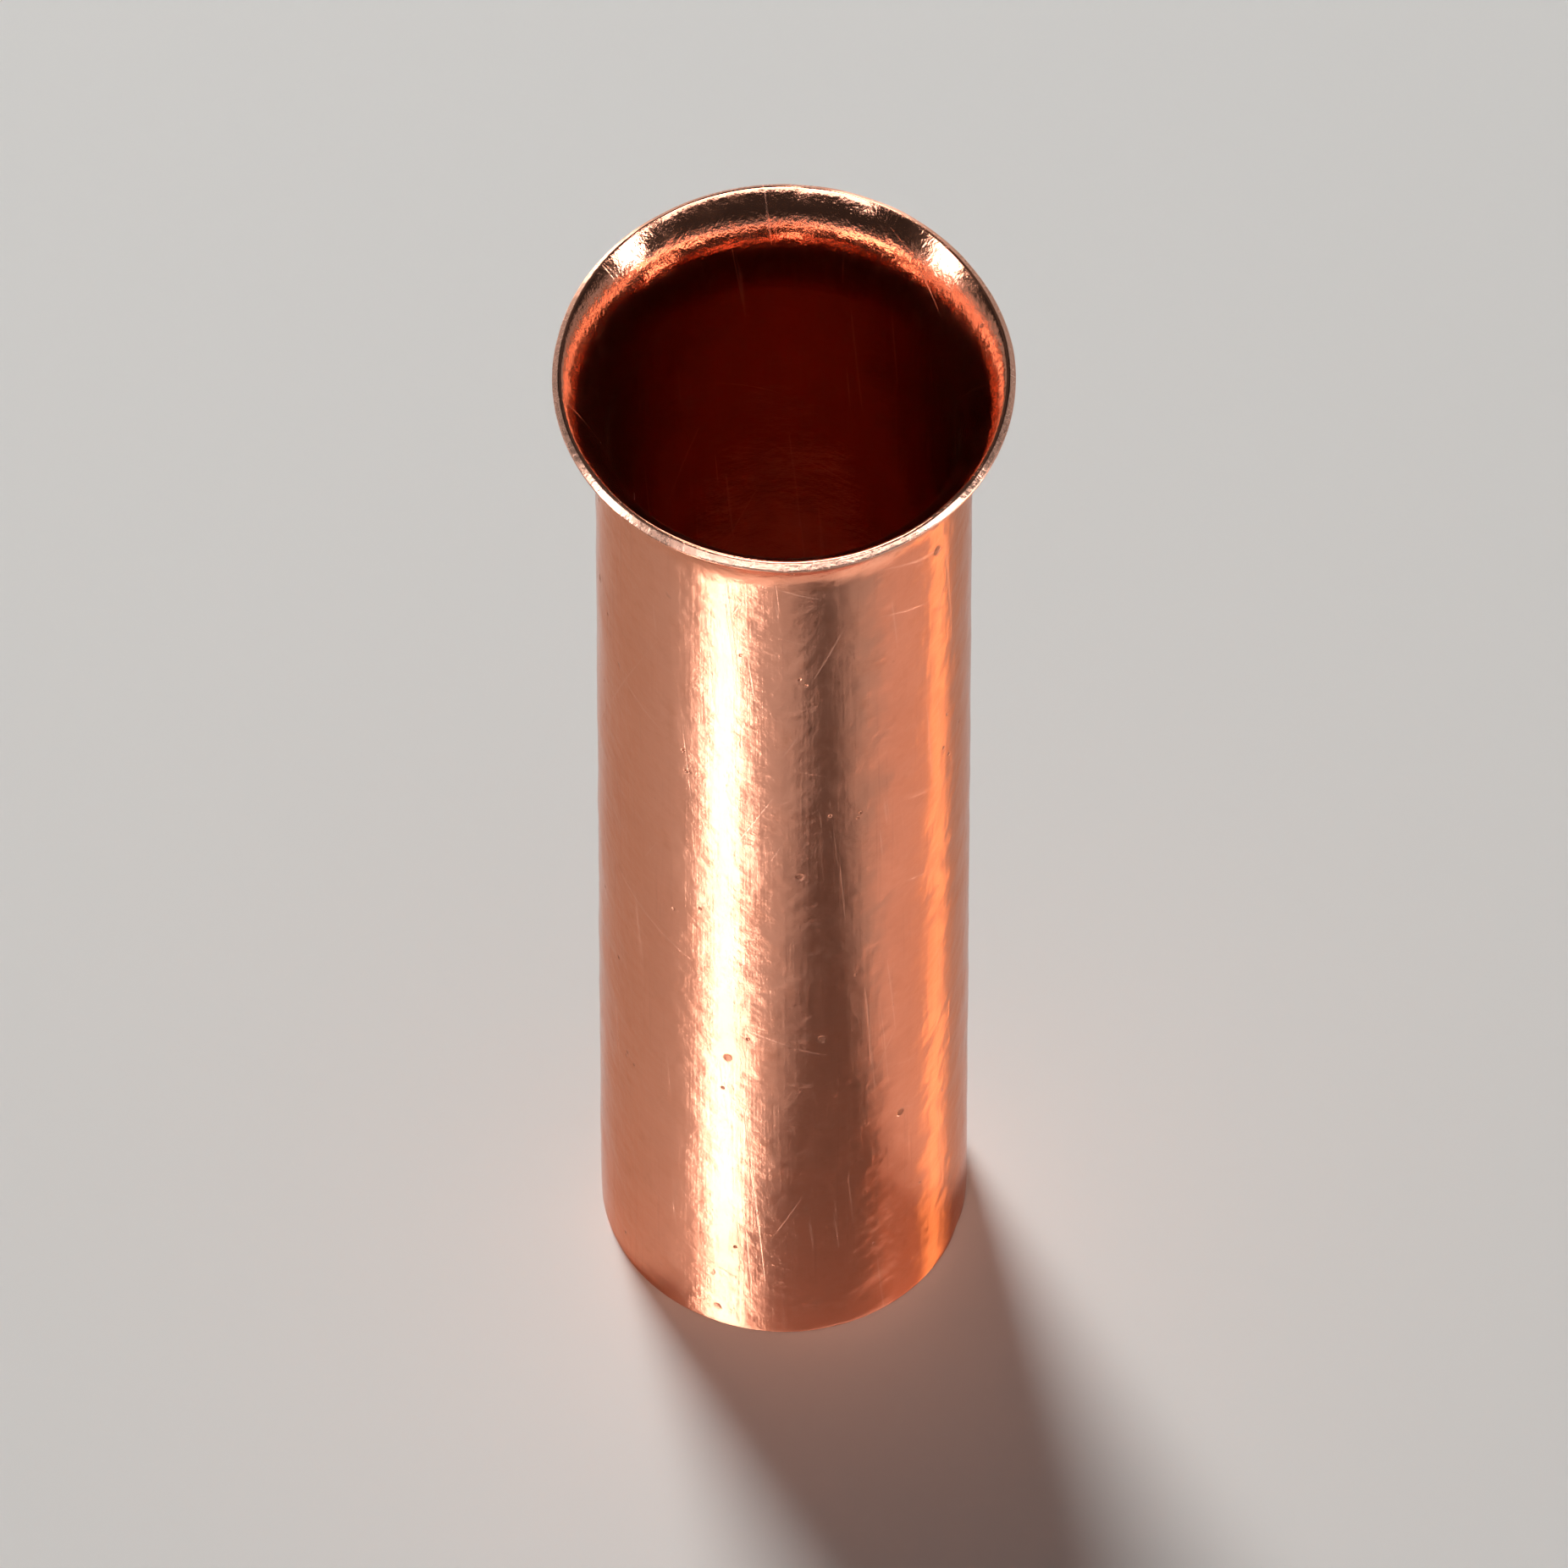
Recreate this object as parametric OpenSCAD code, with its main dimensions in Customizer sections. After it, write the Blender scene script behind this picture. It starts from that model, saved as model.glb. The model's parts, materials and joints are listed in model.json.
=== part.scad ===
// Bare copper end ferrule for a stranded conductor.
// One drawn tube: cut square at one end, belled out to a flare at the other.
// The ferrule stands on its square end, with the flared wire entry at the top.
// Origin: centre of the square end's face. +Z runs up the bore, out of the flare.
// Millimetres.

/* [Barrel] */
// Inside diameter of the barrel, the clear bore that the strands fill
bore_d = 5.8; // [2.8:0.1:10.3]
// Wall thickness of the drawn tube
wall = 0.2; // [0.15:0.05:0.4]
// Overall length, from the square end to the top of the flare
length = 25; // [12:1:32]

/* [Flare] */
// How far the lip of the flare stands out beyond the barrel, on each side
flare_out = 0.7; // [0.4:0.05:1.2]
// Radius that the outside of the wall follows as it turns outwards
flare_r = 2.5; // [1.8:0.1:3.5]

/* [Edges] */
// Break on the cut edges of both ends
edge_break = 0.03; // [0.01:0.01:0.05]

/* [Hidden] */

$fn = 144;

bore_r = bore_d / 2;
barrel_r = bore_r + wall;

// The wall turns about a circle outside the tube, level with the end of the
// straight barrel. flare_angle is how far round that circle the wall goes: a
// little past flare_out, which the lip still reaches once its edge is broken.
turn_x = barrel_r + flare_r;
flare_angle = acos(1 - flare_out / flare_r) + edge_break / flare_r * 180 / PI;
// Height of the flare above the straight barrel, to the top of its lip
flare_h = (flare_r + wall) * sin(flare_angle)
    - edge_break * min(sin(flare_angle), cos(flare_angle));
// Length of the straight barrel
barrel_h = length - flare_h;
// Reach of the cutting triangle that ends the turn, well past the wall
reach = 2 * (flare_r + wall);

copper = [0.80, 0.43, 0.30];

// Half section of the straight wall, from the square end up to the turn
module barrel_section() {
    polygon([
        [bore_r + edge_break, 0],
        [barrel_r - edge_break, 0],
        [barrel_r, edge_break],
        [barrel_r, barrel_h],
        [bore_r, barrel_h],
        [bore_r, edge_break]
    ]);
}

// Half section of the turned wall: a slice of a ring of the same thickness.
// Its free end, the lip, is cut at right angles to the wall.
module turn_section() {
    difference() {
        intersection() {
            difference() {
                circle(r = flare_r + wall);
                circle(r = flare_r);
            }
            polygon([
                [0, 0],
                [-reach, 0],
                [-reach * cos(flare_angle), reach * sin(flare_angle)]
            ]);
        }
        lip_edge(flare_r, 45);
        lip_edge(flare_r + wall, 135);
    }
}

// What the break takes off one edge of the lip: everything beyond a line
// across the corner at radius r, where facing is the way the break faces
module lip_edge(r, facing) {
    rotate(-flare_angle)
        translate([-r, 0])
            rotate(facing)
                translate([-edge_break / sqrt(2), -2 * edge_break])
                    square(4 * edge_break);
}

// The whole ferrule, one piece of copper all the way round
module ferrule() {
    color(copper)
        rotate_extrude()
            union() {
                barrel_section();
                translate([turn_x, barrel_h]) turn_section();
            }
}

ferrule();
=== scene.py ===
import json
import math

import bpy
import numpy as np
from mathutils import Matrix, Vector


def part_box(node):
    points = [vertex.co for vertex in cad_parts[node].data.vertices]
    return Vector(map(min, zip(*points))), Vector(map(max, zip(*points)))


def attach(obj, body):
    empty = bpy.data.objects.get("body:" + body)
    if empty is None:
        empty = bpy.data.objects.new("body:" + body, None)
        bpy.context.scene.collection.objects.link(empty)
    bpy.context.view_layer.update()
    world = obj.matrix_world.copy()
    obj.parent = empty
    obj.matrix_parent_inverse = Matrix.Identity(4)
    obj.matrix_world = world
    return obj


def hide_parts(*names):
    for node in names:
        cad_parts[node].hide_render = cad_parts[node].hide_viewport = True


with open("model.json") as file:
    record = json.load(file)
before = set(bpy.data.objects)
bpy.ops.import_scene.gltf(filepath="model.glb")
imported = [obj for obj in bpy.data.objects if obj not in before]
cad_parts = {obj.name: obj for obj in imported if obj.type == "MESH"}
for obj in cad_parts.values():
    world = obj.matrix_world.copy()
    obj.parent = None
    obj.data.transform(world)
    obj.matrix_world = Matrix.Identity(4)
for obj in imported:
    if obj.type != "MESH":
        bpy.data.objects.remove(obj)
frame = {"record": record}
scene = bpy.context.scene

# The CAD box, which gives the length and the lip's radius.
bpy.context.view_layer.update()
box_lo, box_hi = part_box("ferrule")
MM = 0.001

# ---------------------------------------------------------------- dimensions
mounts = {m["name"]: m for m in frame["record"]["mounts"]}
LENGTH = box_hi.z - box_lo.z
R_BORE = mounts["wire_bore"]["dims"]["r_mm"] * MM
R_OUT = mounts["barrel"]["dims"]["r_mm"] * MM
WALL = R_OUT - R_BORE
R_LIP = (box_hi.x - box_lo.x) / 2
EDGE = 0.03 * MM
TURN = 2.5 * MM                       # radius of the flare's outside
TURN_X = R_OUT + TURN
ANGLE = math.acos(1 - (R_LIP - R_OUT) / TURN) + EDGE / TURN
FLARE_H = (TURN + WALL) * math.sin(ANGLE) - EDGE * min(math.sin(ANGLE), math.cos(ANGLE))
BARREL_H = LENGTH - FLARE_H


# ------------------------------------------------------------------ ferrule
def smooth(a, b, x):
    t = np.clip((x - a) / (b - a), 0, 1)
    return t * t * (3 - 2 * t)


def profile():
    """Half section as a closed loop of (radius, height, side): up the outside, over the lip, down the bore and across the square end. side is 1 outside, 0 on a cut face and -1 inside."""
    pts = []

    def line(a, b, n, side, ends=False):
        for i in range(n + (1 if ends else 0)):
            t = i / n
            pts.append((a[0] + (b[0] - a[0]) * t, a[1] + (b[1] - a[1]) * t, side))

    def turn(cx, cz, r, a0, a1, n, side):
        for i in range(n):
            a = a0 + (a1 - a0) * i / n
            pts.append((cx + r * math.cos(a), cz + r * math.sin(a), side))

    e = EDGE
    # outside corner of the square end, rounded by the cut-off
    turn(R_OUT - e, e, e, -math.pi / 2, 0, 5, 1)
    line((R_OUT, e), (R_OUT, BARREL_H), 218, 1)
    # the outside of the flare
    outer_end = ANGLE - e / TURN
    turn(TURN_X, BARREL_H, TURN, math.pi, math.pi - outer_end, 30, 1)
    # the lip, cut square to the wall, with soft edges
    c, s = math.cos(ANGLE), math.sin(ANGLE)

    def lip(depth, up):
        # depth: from the outside of the wall towards the inside; up: back along the wall from the cut
        r = TURN + depth
        return (TURN_X - r * c - up * s, BARREL_H + r * s - up * c)

    for i in range(5):
        a = math.pi / 2 * i / 5
        pts.append((*lip(e - e * math.cos(a), e - e * math.sin(a)), 1))
    for i in range(5):
        t = i / 5
        pts.append((*lip(e + (WALL - 2 * e) * t, 0), 0))
    for i in range(5):
        a = math.pi / 2 * i / 5
        pts.append((*lip(WALL - e + e * math.sin(a), e - e * math.cos(a)), -1))
    inner_end = ANGLE - e / (TURN + WALL)
    turn(TURN_X, BARREL_H, TURN + WALL, math.pi - inner_end, math.pi, 30, -1)
    line((R_BORE, BARREL_H), (R_BORE, e), 72, -1)
    turn(R_BORE + e, e, e, math.pi, math.pi * 1.5, 5, -1)
    line((R_BORE + e, 0), (R_OUT - e, 0), 4, 0)
    return np.array(pts)


AROUND = 256
prof = profile()
rows = len(prof)
theta = np.linspace(0, 2 * math.pi, AROUND, endpoint=False)
T, _ = np.meshgrid(theta, prof[:, 0])
R = np.repeat(prof[:, 0:1], AROUND, 1)
Z = np.repeat(prof[:, 1:2], AROUND, 1)
SIDE = np.repeat(prof[:, 2:3], AROUND, 1)

rng = np.random.default_rng(7305)

# The tube isn't a perfect cylinder: drawing leaves it very slightly oval and
# wavy, which is what makes its long reflections swim a little.
wave = np.zeros_like(R)
for k, amp in ((2, 0.011), (3, 0.005), (5, 0.0022), (8, 0.0012)):
    ph, tw = rng.uniform(0, 6.28), rng.uniform(-0.25, 0.25)
    wave += amp * MM * np.cos(k * T + ph + tw * Z / MM * 0.25)
for k in range(7):
    lam = rng.uniform(1.6, 6.0)
    ph, kt = rng.uniform(0, 6.28), rng.integers(0, 5)
    wave += 0.0011 * MM * np.cos(2 * math.pi * Z / MM / lam + kt * T + ph)
R = R + wave


def skin_field(seed, wavelength, spread):
    """A random field over the tube's skin, periodic round it, with features of about one wavelength (mm): sampled at every vertex, deviation 1."""
    nz, nt = 640, 384
    long_mm, round_mm = 30.0, 2 * math.pi * R_OUT / MM
    g = np.random.default_rng(seed)
    kz = np.abs(np.fft.fftfreq(nz, long_mm / nz))[:, None]
    kt = np.abs(np.fft.fftfreq(nt, round_mm / nt))[None, :]
    freq = np.hypot(kz, kt)
    freq[0, 0] = 1e-6
    band = np.exp(-(np.log(freq * wavelength) / spread) ** 2)
    f = np.fft.ifft2(np.fft.fft2(g.standard_normal((nz, nt))) * band).real
    f /= f.std()
    x = (Z / MM / long_mm * nz) % nz
    y = (T / (2 * math.pi) * nt) % nt
    xi, yi = np.floor(x).astype(int), np.floor(y).astype(int)
    fx, fy = x - xi, y - yi
    a, b = f[xi % nz, yi % nt], f[(xi + 1) % nz, yi % nt]
    c, d = f[xi % nz, (yi + 1) % nt], f[(xi + 1) % nz, (yi + 1) % nt]
    return (a * (1 - fx) + b * fx) * (1 - fy) + (c * (1 - fx) + d * fx) * fy


# Orange peel: the skin of soft drawn copper is grainy.
skin_on = (SIDE == 1) * smooth(0.05 * MM, 0.3 * MM, Z)
R = R + skin_on * MM * (0.0015 * skin_field(11, 0.40, 0.45) + 0.0022 * skin_field(12, 1.5, 0.5))
R = R + (SIDE == -1) * MM * 0.0020 * skin_field(13, 1.8, 0.5)

# The bell was punched, so its lip waves a little up and down and in and out.
bell = smooth(BARREL_H, LENGTH, Z)
lipw = np.zeros_like(T)
for k, amp in ((2, 0.016), (3, 0.010), (4, 0.006), (7, 0.003), (11, 0.0015)):
    lipw += amp * np.cos(k * T + rng.uniform(0, 6.28))
Z = Z - bell ** 2 * MM * (0.006 + 0.35 * np.abs(lipw))
R = R - bell ** 2 * MM * 0.5 * np.abs(lipw)


def dent(t0, z0, depth, rt, rz, rim=0.0):
    """A shallow knock in the wall, centre angle t0 and height z0, radii rt round the tube and rz along it, in mm."""
    global R
    d = np.angle(np.exp(1j * (T - t0))) * R_OUT / MM
    q = (d / rt) ** 2 + ((Z / MM - z0) / rz) ** 2
    R = R - depth * MM * np.exp(-q) + rim * MM * np.exp(-((np.sqrt(q) - 1.35) ** 2) / 0.12)


# Handling knocks on the barrel
for _ in range(13):
    dent(rng.uniform(0, 6.28), rng.uniform(1.5, 22), rng.uniform(0.003, 0.010),
         rng.uniform(0.25, 0.7), rng.uniform(0.3, 1.6), 0.0006)

# Nicks in the two cut edges
def nick(t0, top, depth, w):
    global R, Z
    d = np.angle(np.exp(1j * (T - t0))) * R_OUT / MM
    f = np.exp(-(d / w) ** 2)
    if top:
        near = smooth(LENGTH - 0.30 * MM, LENGTH - 0.02 * MM, Z)
        Z = Z - depth * MM * f * near
    else:
        near = 1 - smooth(0.0, 0.18 * MM, Z)
        R = R - depth * MM * f * near


for _ in range(5):
    nick(rng.uniform(0, 6.28), True, rng.uniform(0.008, 0.022), rng.uniform(0.10, 0.28))
for _ in range(6):
    nick(rng.uniform(0, 6.28), False, rng.uniform(0.004, 0.012), rng.uniform(0.10, 0.35))

R = np.minimum(R, R_LIP)
Z = np.clip(Z, 0, LENGTH)
co = np.stack([R * np.cos(T), R * np.sin(T), Z], -1).reshape(-1, 3)

faces, loops_uv = [], []
arc = np.concatenate([[0], np.cumsum(np.hypot(*(np.roll(prof[:, :2], -1, 0) - prof[:, :2]).T))])
half = 0.5 * arc[-1]
for i in range(rows):
    j = (i + 1) % rows
    for k in range(AROUND):
        m = (k + 1) % AROUND
        faces.append((i * AROUND + k, i * AROUND + m, j * AROUND + m, j * AROUND + k))

mesh = bpy.data.meshes.new("ferrule_tube")
mesh.from_pydata(co.tolist(), [], faces)
mesh.update()
mesh.polygons.foreach_set("use_smooth", np.ones(len(faces), bool))

# Map for the surface: the profile's length across, the turn round the tube up.
uv = mesh.uv_layers.new(name="OFBake")
u = np.empty((rows, AROUND, 4, 2))
k = np.arange(AROUND)
for i in range(rows):
    a, b = arc[i] / arc[-1], arc[i + 1] / arc[-1]
    u[i, :, 0] = np.stack([np.full(AROUND, a), k / AROUND], -1)
    u[i, :, 1] = np.stack([np.full(AROUND, a), (k + 1) / AROUND], -1)
    u[i, :, 2] = np.stack([np.full(AROUND, b), (k + 1) / AROUND], -1)
    u[i, :, 3] = np.stack([np.full(AROUND, b), k / AROUND], -1)
uv.data.foreach_set("uv", (u * 0.996 + 0.002).ravel())

# 1 on the two cut faces, 0 elsewhere
cut_attr = mesh.attributes.new("cut", "FLOAT", "POINT")
cut_attr.data.foreach_set("value", (SIDE == 0).astype(float).ravel())
# 1 in the bore, fading out up the flare
inside_attr = mesh.attributes.new("inside", "FLOAT", "POINT")
inside_attr.data.foreach_set("value", ((SIDE == -1) * (1 - 0.5 * smooth(BARREL_H, LENGTH, Z))).ravel())

tube = bpy.data.objects.new("ferrule_tube", mesh)
scene.collection.objects.link(tube)


# ----------------------------------------------------------------- material
class Nodes:
    def __init__(self, mat):
        self.nt = mat.node_tree
        self.nt.nodes.clear()

    def new(self, kind, **inputs):
        n = self.nt.nodes.new(kind)
        for key, value in inputs.items():
            setattr(n, key, value)
        return n

    def link(self, a, b):
        self.nt.links.new(a, b)

    def math(self, op, a, b=None, clamp=False):
        n = self.new("ShaderNodeMath", operation=op, use_clamp=clamp)
        for i, v in enumerate((a, b)):
            if v is None:
                continue
            if isinstance(v, (int, float)):
                n.inputs[i].default_value = v
            else:
                self.link(v, n.inputs[i])
        return n.outputs[0]

    def ramp(self, fac, lo, hi, a=0.0, b=1.0):
        n = self.new("ShaderNodeMapRange", interpolation_type="SMOOTHSTEP")
        self.link(fac, n.inputs["Value"])
        n.inputs["From Min"].default_value = lo
        n.inputs["From Max"].default_value = hi
        n.inputs["To Min"].default_value = a
        n.inputs["To Max"].default_value = b
        return n.outputs["Result"]

    def noise(self, vec, scale, detail=2.0, rough=0.5, dist=0.0):
        n = self.new("ShaderNodeTexNoise")
        self.link(vec, n.inputs["Vector"])
        n.inputs["Scale"].default_value = scale
        n.inputs["Detail"].default_value = detail
        n.inputs["Roughness"].default_value = rough
        n.inputs["Distortion"].default_value = dist
        return n.outputs["Fac"]

    def scaled(self, vec, x, y, z, shift=(0, 0, 0)):
        n = self.new("ShaderNodeMapping")
        self.link(vec, n.inputs["Vector"])
        n.inputs["Scale"].default_value = (x, y, z)
        n.inputs["Location"].default_value = shift
        return n.outputs["Vector"]

    def mix(self, fac, a, b, blend="MIX"):
        n = self.new("ShaderNodeMix", data_type="RGBA", blend_type=blend)
        for sock, v in ((n.inputs[0], fac), (n.inputs[6], a), (n.inputs[7], b)):
            if isinstance(v, (int, float)):
                sock.default_value = v
            elif isinstance(v, tuple):
                sock.default_value = (*v, 1.0)
            else:
                self.link(v, sock)
        return n.outputs[2]


def copper_material():
    mat = bpy.data.materials.new("bare_copper")
    mat.use_nodes = True
    N = Nodes(mat)
    out = N.new("ShaderNodeOutputMaterial")
    bsdf = N.new("ShaderNodeBsdfPrincipled")
    N.link(bsdf.outputs[0], out.inputs["Surface"])
    bsdf.inputs["Metallic"].default_value = 1.0
    bsdf.inputs["Specular Tint"].default_value = (0.86, 0.60, 0.50, 1.0)
    tc = N.new("ShaderNodeTexCoord").outputs["Object"]
    mm = N.scaled(tc, 1000, 1000, 1000)          # millimetres

    # the unrolled surface in mm: x along the tube, y round it
    skin = N.scaled(N.new("ShaderNodeUVMap", uv_map="OFBake").outputs["UV"], arc[-1] / MM, 2 * math.pi * R_OUT / MM, 1)
    cut = N.new("ShaderNodeAttribute", attribute_name="cut").outputs["Fac"]
    outer = N.math("SUBTRACT", 1.0, N.new("ShaderNodeAttribute", attribute_name="inside").outputs["Fac"])

    drawn = N.scaled(mm, 1.0, 1.0, 0.02)         # stretched along the tube
    lines = N.noise(drawn, 14.0, 3.0, 0.6)       # draw lines
    fine_lines = N.noise(drawn, 42.0, 2.0, 0.6)
    cloud = N.noise(N.scaled(mm, 1, 1, 0.55, (3.1, 1.7, 0.4)), 0.42, 4.0, 0.55)
    mottle = N.noise(N.scaled(mm, 1, 1, 0.8, (9.4, 2.2, 5.0)), 2.6, 4.0, 0.6)
    peel = N.noise(N.scaled(mm, 1, 1, 0.8), 1.6, 2.0, 0.5)      # slow waves, 0.6 mm
    grain = N.noise(mm, 5.2, 3.0, 0.62)          # orange peel, about 0.2 mm
    fine = N.noise(mm, 24.0, 2.0, 0.5)

    # fine handling scratches, in three directions
    scratch = None
    for turn_deg, lo, seed in ((4, 0.665, 1.0), (-21, 0.69, 7.0), (62, 0.70, 13.0)):
        n = N.new("ShaderNodeMapping")
        N.link(skin, n.inputs["Vector"])
        n.inputs["Rotation"].default_value = (0, 0, math.radians(turn_deg))
        n.inputs["Location"].default_value = (seed, seed * 1.7, seed)
        line = N.ramp(N.noise(N.scaled(n.outputs["Vector"], 0.16, 7.5, 1), 1.0, 2.0, 0.55, 0.35), lo, lo + 0.045)
        scratch = line if scratch is None else N.math("MAXIMUM", scratch, line)

    # colour: bright salmon copper, a little browner where it has dulled
    colour = N.mix(N.ramp(cloud, 0.38, 0.66), (0.76, 0.345, 0.232), (0.70, 0.305, 0.20))
    colour = N.mix(N.ramp(mottle, 0.50, 0.78, 0.0, 0.5), colour, (0.59, 0.235, 0.14))
    colour = N.mix(N.ramp(lines, 0.56, 0.74, 0.0, 0.32), colour, (0.55, 0.225, 0.15))
    colour = N.mix(N.math("MULTIPLY", scratch, 0.30), colour, (0.88, 0.50, 0.38))
    # pits and dark specks, two sizes
    dots = []
    for scale, r0, r1, seed in ((0.95, 0.045, 0.10, 0.0), (2.1, 0.035, 0.10, 4.0)):
        vor = N.new("ShaderNodeTexVoronoi")
        N.link(N.scaled(mm, 1, 1, 0.7, (seed, seed, seed)), vor.inputs["Vector"])
        vor.inputs["Scale"].default_value = scale
        dots.append(N.math("MULTIPLY", N.ramp(vor.outputs["Distance"], r0, r1, 1.0, 0.0),
                           N.ramp(N.noise(N.scaled(mm, 1, 1, 1, (seed, 3, 1)), 0.8, 1.0), 0.48, 0.58)))
    dot = N.math("MULTIPLY", N.math("MAXIMUM", dots[0], dots[1]), outer)
    colour = N.mix(N.math("MULTIPLY", dot, 0.78), colour, (0.15, 0.05, 0.03))
    # the cut faces are fresh, bright metal
    colour = N.mix(N.math("MULTIPLY", cut, 0.75), colour, (0.93, 0.55, 0.42))
    N.link(colour, bsdf.inputs["Base Color"])

    rough = N.math("ADD", N.ramp(cloud, 0.35, 0.70, 0.085, 0.13), N.ramp(mottle, 0.45, 0.75, 0.0, 0.05))
    rough = N.math("ADD", rough, N.ramp(lines, 0.45, 0.75, 0.0, 0.05))
    rough = N.math("ADD", rough, N.math("MULTIPLY", scratch, 0.10))
    rough = N.math("ADD", rough, N.math("MULTIPLY", dot, 0.3))
    rough = N.math("ADD", rough, N.math("MULTIPLY", cut, 0.14))
    N.link(rough, bsdf.inputs["Roughness"])

    height = N.math("MULTIPLY", grain, 0.60)
    height = N.math("ADD", height, N.math("MULTIPLY", peel, 0.75))
    height = N.math("ADD", height, N.math("MULTIPLY", fine, 0.10))
    height = N.math("ADD", height, N.math("MULTIPLY", lines, 0.22))
    height = N.math("ADD", height, N.math("MULTIPLY", fine_lines, 0.06))
    height = N.math("SUBTRACT", height, N.math("MULTIPLY", scratch, 0.10))
    height = N.math("SUBTRACT", height, N.math("MULTIPLY", dot, 0.7))
    height = N.math("MULTIPLY", height, N.math("ADD", 0.45, N.math("MULTIPLY", outer, 0.55)))
    bump = N.new("ShaderNodeBump")
    bump.inputs["Strength"].default_value = 1.0
    bump.inputs["Distance"].default_value = 0.015 * MM
    N.link(height, bump.inputs["Height"])
    N.link(bump.outputs[0], bsdf.inputs["Normal"])
    return mat


copper = copper_material()
mesh.materials.append(copper)
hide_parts("ferrule")
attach(tube, "root")

# -------------------------------------------------------------------- stage
floor_mesh = bpy.data.meshes.new("floor")
S = 4.0
floor_mesh.from_pydata([(-S, -S, 0), (S, -S, 0), (S, S, 0), (-S, S, 0)], [], [(0, 1, 2, 3)])
floor = bpy.data.objects.new("floor", floor_mesh)
scene.collection.objects.link(floor)
fm = bpy.data.materials.new("floor_pale")
fm.use_nodes = True
# Seen straight on the floor is plain and matt. The copper mirrors it with the
# sheen of a smooth table, which is where its long highlights come from.
fn = Nodes(fm)
matt, satin = fn.new("ShaderNodeBsdfDiffuse"), fn.new("ShaderNodeBsdfPrincipled")
matt.inputs["Color"].default_value = satin.inputs["Base Color"].default_value = (0.72, 0.715, 0.705, 1)
satin.inputs["Roughness"].default_value = 0.13
satin.inputs["IOR"].default_value = 1.55
either = fn.new("ShaderNodeMixShader")
fn.link(fn.new("ShaderNodeLightPath").outputs["Is Camera Ray"], either.inputs[0])
fn.link(satin.outputs[0], either.inputs[1])
fn.link(matt.outputs[0], either.inputs[2])
fn.link(either.outputs[0], fn.new("ShaderNodeOutputMaterial").inputs["Surface"])
floor_mesh.materials.append(fm)

# The studio round it: a pale horizon, a dark band over it and a soft ceiling.
world = bpy.data.worlds.new("studio")
scene.world = world
world.use_nodes = True
wn = Nodes(world)
sep = wn.new("ShaderNodeSeparateXYZ")
wn.link(wn.new("ShaderNodeTexCoord").outputs["Generated"], sep.inputs[0])
up = sep.outputs["Z"]
level = wn.math("ADD", wn.ramp(up, 0.08, 0.18, 0.40, 0.0), wn.ramp(up, 0.42, 0.85, 0.03, 0.08))
bg = wn.new("ShaderNodeBackground")
bg.inputs["Color"].default_value = (1.0, 0.985, 0.97, 1)
wn.link(level, bg.inputs["Strength"])
wn.link(bg.outputs[0], wn.new("ShaderNodeOutputWorld").inputs["Surface"])


floor_only = bpy.data.collections.new("floor_only")
floor_only.objects.link(floor)


def soft_box(name, azimuth, elevation, wide, high, radiance, colour=(1, 1, 1), gloss_only=False, matt_only=False, sheen=False, dist=0.7):
    """A soft box that faces the ferrule. azimuth 0 is on the camera's side and 90 on its right; wide and high are the angles it fills, in degrees. sheen: it only gives the floor a sheen."""
    a, e = math.radians(azimuth), math.radians(elevation)
    d = Vector((math.sin(a) * math.cos(e), -math.cos(a) * math.cos(e), math.sin(e)))
    li = bpy.data.lights.new(name, "AREA")
    li.shape = "RECTANGLE"
    li.size = 2 * dist * math.tan(math.radians(wide / 2))
    li.size_y = 2 * dist * math.tan(math.radians(high / 2))
    li.energy = math.pi * li.size * li.size_y * radiance
    li.color = colour
    ob = bpy.data.objects.new(name, li)
    ob.location = d * dist + Vector((0, 0, LENGTH / 2))
    ob.rotation_mode = "QUATERNION"
    ob.rotation_quaternion = d.to_track_quat("Z", "Y")
    ob.visible_camera = False
    ob.visible_diffuse = not (gloss_only or sheen)
    ob.visible_glossy = not matt_only
    scene.collection.objects.link(ob)
    if sheen:
        ob.light_linking.receiver_collection = floor_only
    return ob


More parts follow.
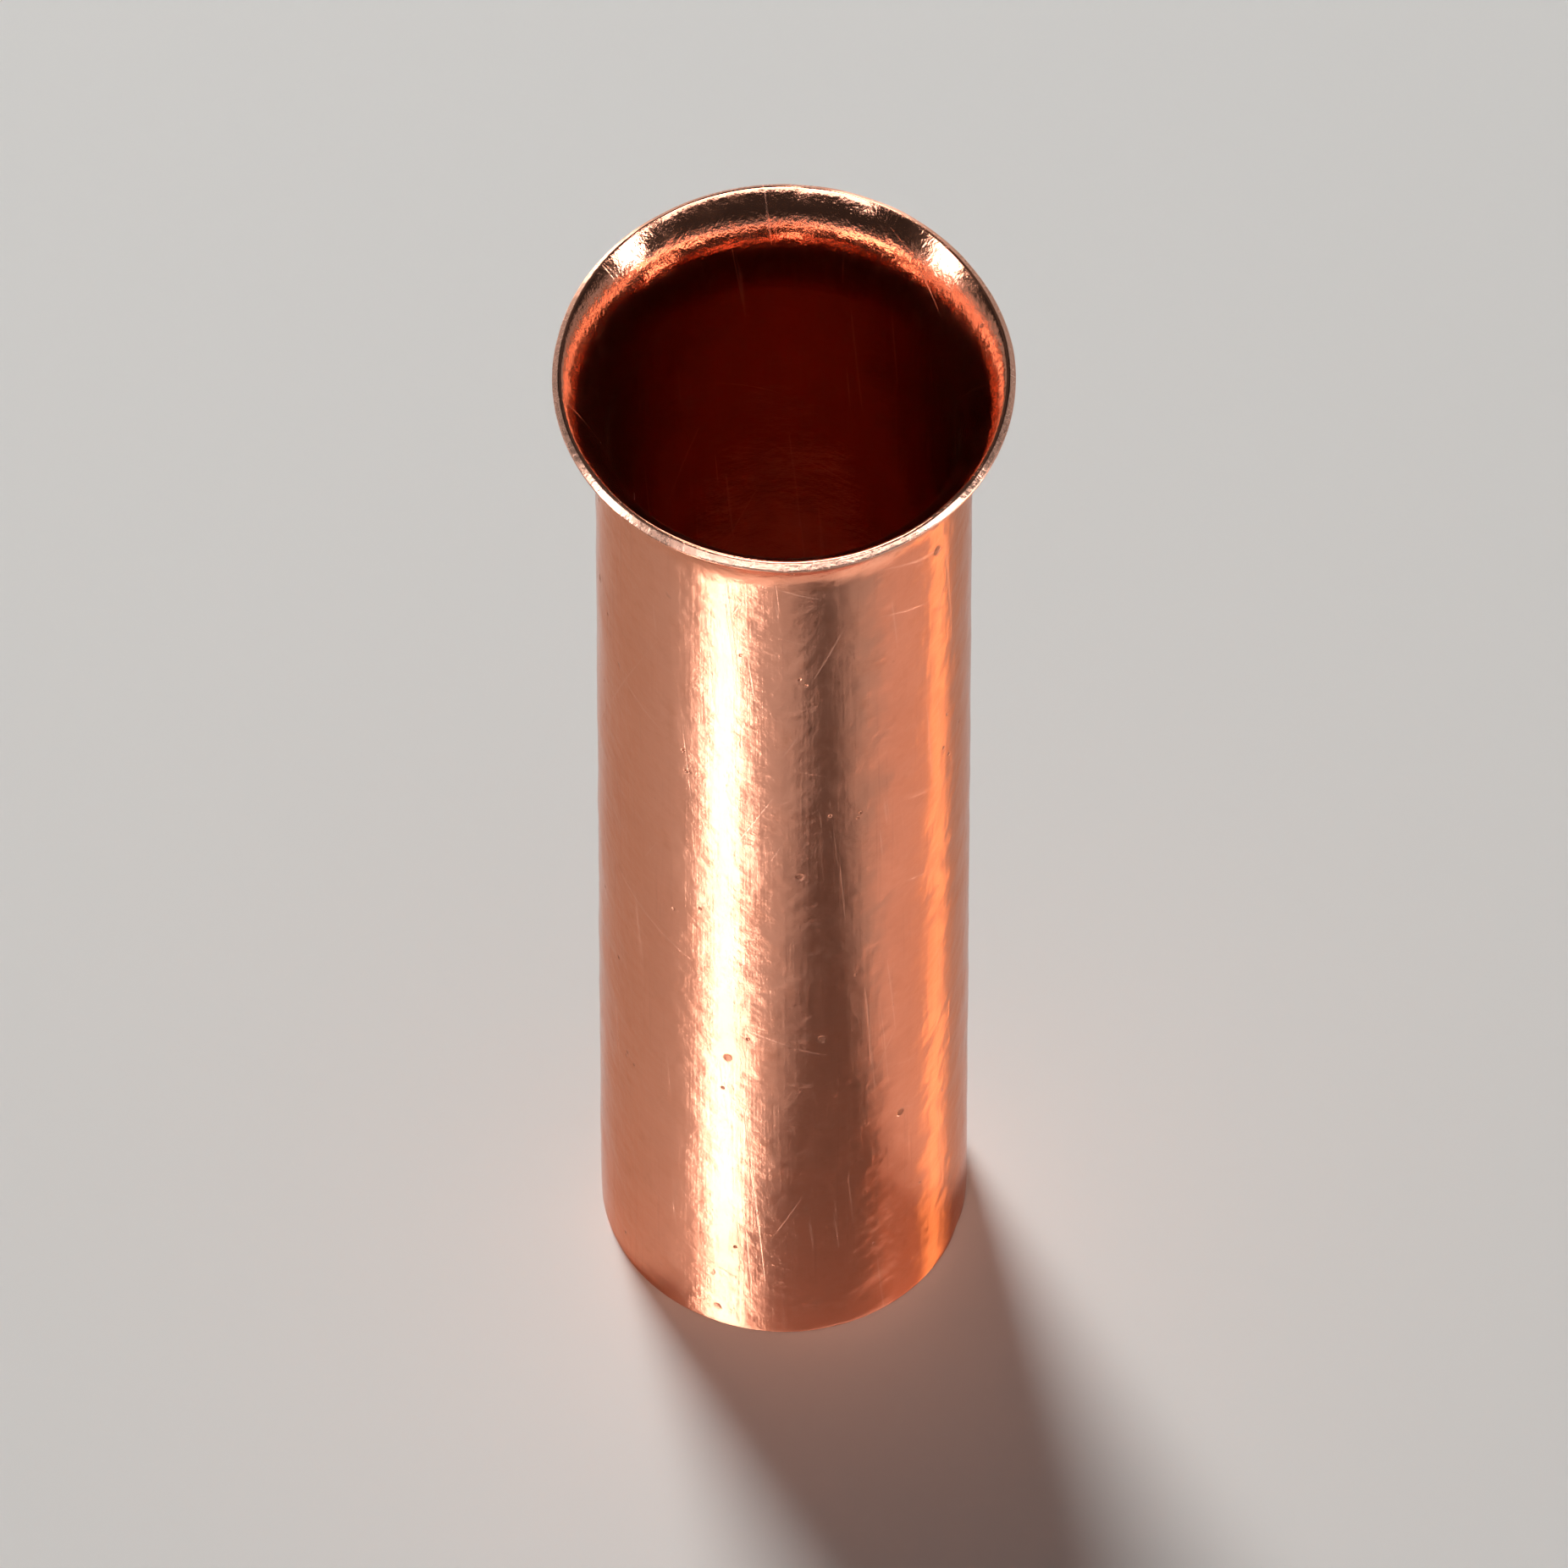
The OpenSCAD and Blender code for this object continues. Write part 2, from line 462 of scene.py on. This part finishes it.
WHITE, WARM = (1.0, 0.99, 0.97), (1.0, 0.60, 0.25)
soft_box("key", -158, 47, 15, 15, 14.7, WHITE, matt_only=True, dist=0.13)
sun = bpy.data.lights.new("key_far", "SUN")    # the same light on the floor far off
sun.energy, sun.angle, sun.color = 1.97, math.radians(15), WHITE
sun_ob = bpy.data.objects.new("key_far", sun)
a, e = math.radians(-158), math.radians(47)
sun_ob.rotation_mode = "QUATERNION"
sun_ob.rotation_quaternion = Vector((math.sin(a) * math.cos(e), -math.cos(a) * math.cos(e), math.sin(e))).to_track_quat("Z", "Y")
sun_ob.visible_camera = sun_ob.visible_glossy = False
scene.collection.objects.link(sun_ob)
soft_box("top", 60, 80, 26, 26, 0.5)
soft_box("ceiling", 20, 81, 46, 22, 14.0, gloss_only=True)
soft_box("ring", 8, 43, 80, 14, 4.2, gloss_only=True)
for az in (-75, 70, 170):
    soft_box(f"strip{az}", az, 19, 10, 24, 12.0, WHITE, gloss_only=True)
# what the floor's sheen shows to the copper: strips, brighter where they are higher
soft_box("streak_high", -38, 57, 11, 20, 560.0, WHITE, sheen=True)
for az in (-38, 82, -155):
    soft_box(f"streak_mid{az}", az, 36, 11, 20, 190.0, WHITE, sheen=True)
    soft_box(f"streak_low{az}", az, 15, 10, 20, 55.0, WHITE, sheen=True)
soft_box("kicker", 110, 57, 4.5, 18, 60.0, WARM, sheen=True)
soft_box("glow", 90, 57, 34, 20, 5.0, (1.0, 0.32, 0.10), sheen=True)

# ------------------------------------------------------------------- camera
ELEV = math.radians(57.5)
DIST = 0.53
cam_data = bpy.data.cameras.new("camera")
cam_data.sensor_width = 36.0
cam_data.lens = 36.0 * DIST / 0.0262
cam_data.clip_start, cam_data.clip_end = 0.01, 20
cam = bpy.data.objects.new("camera", cam_data)
back = Vector((0, -math.cos(ELEV), math.sin(ELEV)))
target = Vector((0, 0, LENGTH * 0.50))
cam.location = target + back * DIST
cam.rotation_mode = "QUATERNION"
cam.rotation_quaternion = (-back).to_track_quat("-Z", "Y")
scene.collection.objects.link(cam)
scene.camera = cam

scene.cycles.max_bounces = 11
scene.cycles.glossy_bounces = 11
scene.cycles.diffuse_bounces = 3
scene.view_settings.view_transform = "Standard"
